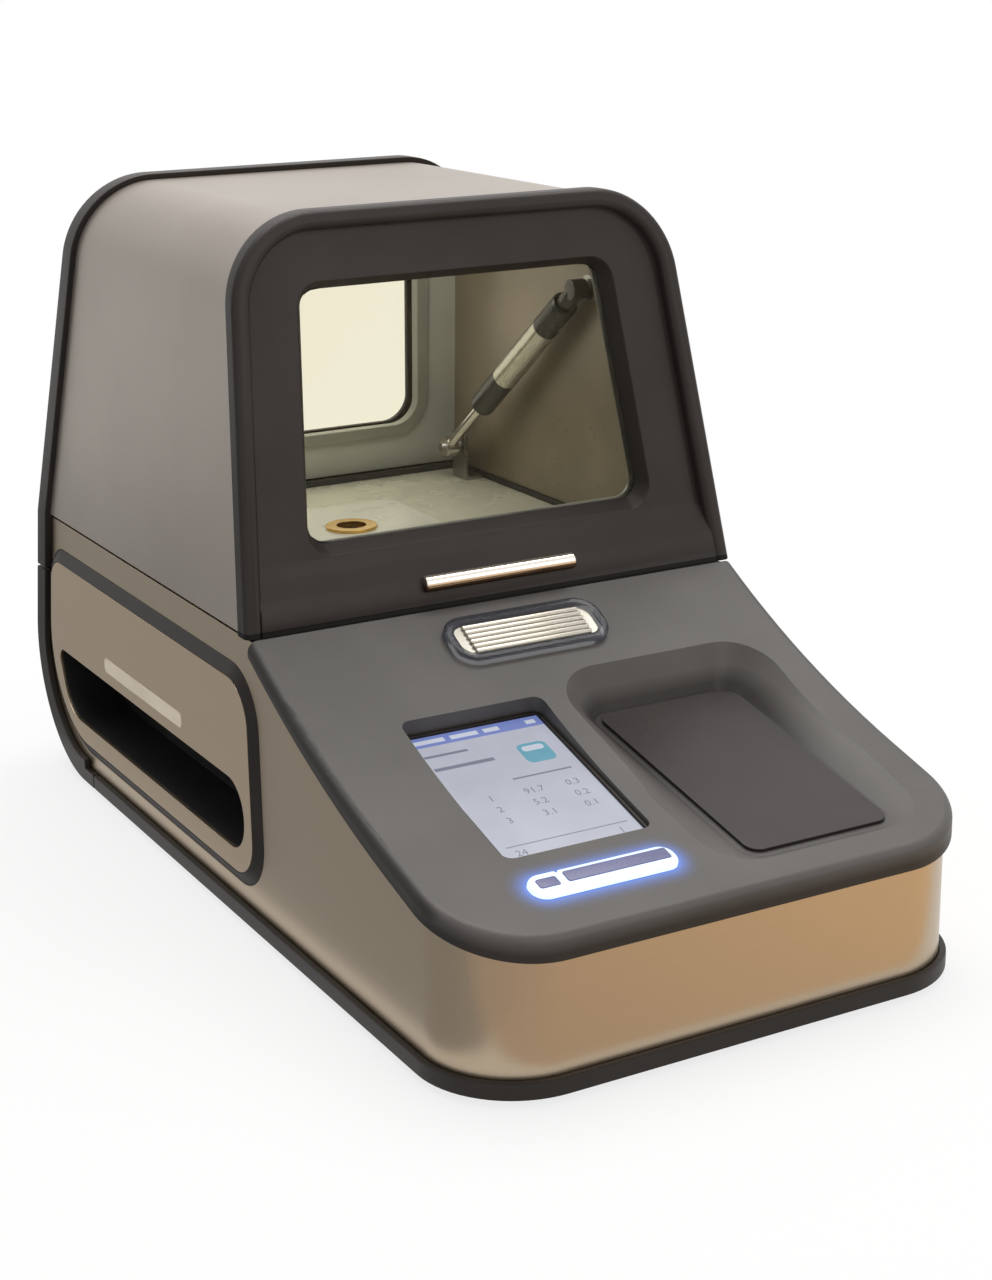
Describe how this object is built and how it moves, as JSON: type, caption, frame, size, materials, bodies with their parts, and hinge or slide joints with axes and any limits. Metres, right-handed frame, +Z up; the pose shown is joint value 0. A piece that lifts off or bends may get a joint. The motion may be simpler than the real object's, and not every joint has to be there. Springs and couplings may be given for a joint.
{
  "type": "benchtop x-ray fluorescence analyzer",
  "caption": "Counter-top analyzer with a sloped console, touch display, lit keys, tray recess and a windowed sample hood hinged at the rear.",
  "frame": {"origin": "under the middle of the case, on the table", "axes": "-Y faces the person at the console, +X is the right flank seen from the front, +Z is up"},
  "size_m": [0.266, 0.513, 0.334],
  "materials": {
    "brushed_wrap": "brushed, champagne anodised",
    "hood_metal": "satin metallic grey",
    "dark_trim": "fine texture",
    "deck_plastic": "fine texture",
    "bezel_plastic": "fine texture",
    "mat_rubber": "matt",
    "liner_paint": "satin light grey",
    "lead_glass": "clear, faint yellow tint",
    "screen_glass": "clear",
    "screen_body": "lit panel",
    "chrome": "polished",
    "lens_clear": "clear, ribbed",
    "steel": "brushed",
    "strut_black": "gloss black",
    "gold": "polished",
    "black_rubber": "matt",
    "stage_metal": "brushed",
    "chassis_metal": "plain",
    "board_green": "board with parts",
    "box_metal": "plain sheet",
    "key_white": "satin",
    "ring_light": "lit translucent",
    "lamp_white": "frosted",
    "black_plastic": "plain"
  },
  "bodies": {
    "base": {"analysis_head": "box_metal", "aperture_ring": "gold", "base_tray": "dark_trim", "beacon_bezel": "dark_trim", "beacon_lens": "lens_clear", "camera_module": "black_plastic", "chamber_floor": "stage_metal", "chamber_seal": "black_rubber", "chassis_plate": "chassis_metal", "console_deck": "deck_plastic", "data_port": "black_plastic", "detector": "steel", "fan_frame": "black_plastic", "fan_grille": "steel", "feet": "black_rubber", "filter_motor": "box_metal", "handle_cup_left": "dark_trim", "handle_cup_right": "dark_trim", "handle_panel_left": "brushed_wrap", "handle_panel_right": "brushed_wrap", "handle_surround_left": "dark_trim", "handle_surround_right": "dark_trim", "high_voltage_supply": "box_metal", "hinge_base_leaves": "steel", "hinge_pins": "steel", "interlock_switch": "black_plastic", "key_light_ring": "ring_light", "keypad_board": "board_green", "main_board": "board_green", "power_inlet": "black_plastic", "power_supply": "box_metal", "rear_panel": "dark_trim", "screen_frame": "dark_trim", "screen_module": "screen_body", "side_lamp_left": "lamp_white", "side_lamp_right": "lamp_white", "side_wrap": "brushed_wrap", "stage_plate": "stage_metal", "strut_base_bracket": "steel", "touch_glass": "screen_glass", "tray_mat": "mat_rubber", "xray_tube": "steel"},
    "hood": {"hood_front_bezel": "bezel_plastic", "hood_shell": "hood_metal", "hood_liner": "liner_paint", "hood_rear_frame": "bezel_plastic", "front_window": "lead_glass", "rear_window": "lead_glass", "rear_window_gasket": "black_rubber", "pull_bar": "chrome", "strut_hood_bracket": "steel", "hinge_hood_leaves": "steel"},
    "strut_rod_body": {"strut_rod": "chrome"},
    "strut_cylinder_body": {"strut_cylinder": "strut_black"},
    "start_key_body": {"start_key": "key_white"},
    "menu_key_body": {"menu_key": "key_white"},
    "power_rocker_body": {"power_rocker": "black_plastic"},
    "fan_rotor_body": {"fan_rotor": "black_plastic"},
    "filter_wheel_body": {"filter_wheel": "steel"},
    "interlock_plunger_body": {"interlock_plunger": "steel"}
  },
  "joints": [
    {"name": "hood_hinge", "type": "hinge", "parent": "base", "child": "hood", "pos_m": [0, 0.25157, 0.11694], "axis": [-1, 0, 0], "range_deg": [0, 55]},
    {"name": "strut_pivot", "type": "hinge", "parent": "base", "child": "strut_rod_body", "pos_m": [0.103, 0.1935, 0.165], "axis": [-1, 0, 0], "range_deg": [0, 71.7]},
    {"name": "strut_slide", "type": "slide", "parent": "strut_rod_body", "child": "strut_cylinder_body", "axis": [0, -0.7967, 0.6044], "range_m": [0, 0.0387]},
    {"name": "interlock_travel", "type": "slide", "parent": "base", "child": "interlock_plunger_body", "axis": [0, 0, 1], "range_m": [0, 0.0021]},
    {"name": "start_key_travel", "type": "slide", "parent": "base", "child": "start_key_body", "axis": [0, 0.2588, -0.9659], "range_m": [0, 0.0006], "stiffness_N_per_m": 500, "springref_m": -0.0002},
    {"name": "menu_key_travel", "type": "slide", "parent": "base", "child": "menu_key_body", "axis": [0, 0.2588, -0.9659], "range_m": [0, 0.0006], "stiffness_N_per_m": 500, "springref_m": -0.0002},
    {"name": "power_rocker_tilt", "type": "hinge", "parent": "base", "child": "power_rocker_body", "pos_m": [-0.06, 0.2295, 0.076], "axis": [1, 0, 0], "range_deg": [0, 10]},
    {"name": "fan_spin", "type": "hinge", "parent": "base", "child": "fan_rotor_body", "pos_m": [0.066, 0.2255, 0.062], "axis": [0, 1, 0], "continuous": true},
    {"name": "filter_wheel_spin", "type": "hinge", "parent": "base", "child": "filter_wheel_body", "pos_m": [0, 0.1335, 0.10075], "axis": [0, 0, 1], "continuous": true}
  ],
  "couplings": [
    {"joint": "strut_pivot", "follows": "hood_hinge", "ratio": 1.3018},
    {"joint": "strut_slide", "follows": "hood_hinge", "m_per_rad": 0.040314},
    {"joint": "interlock_travel", "follows": "hood_hinge", "m_per_rad": 0.0020835}
  ]
}
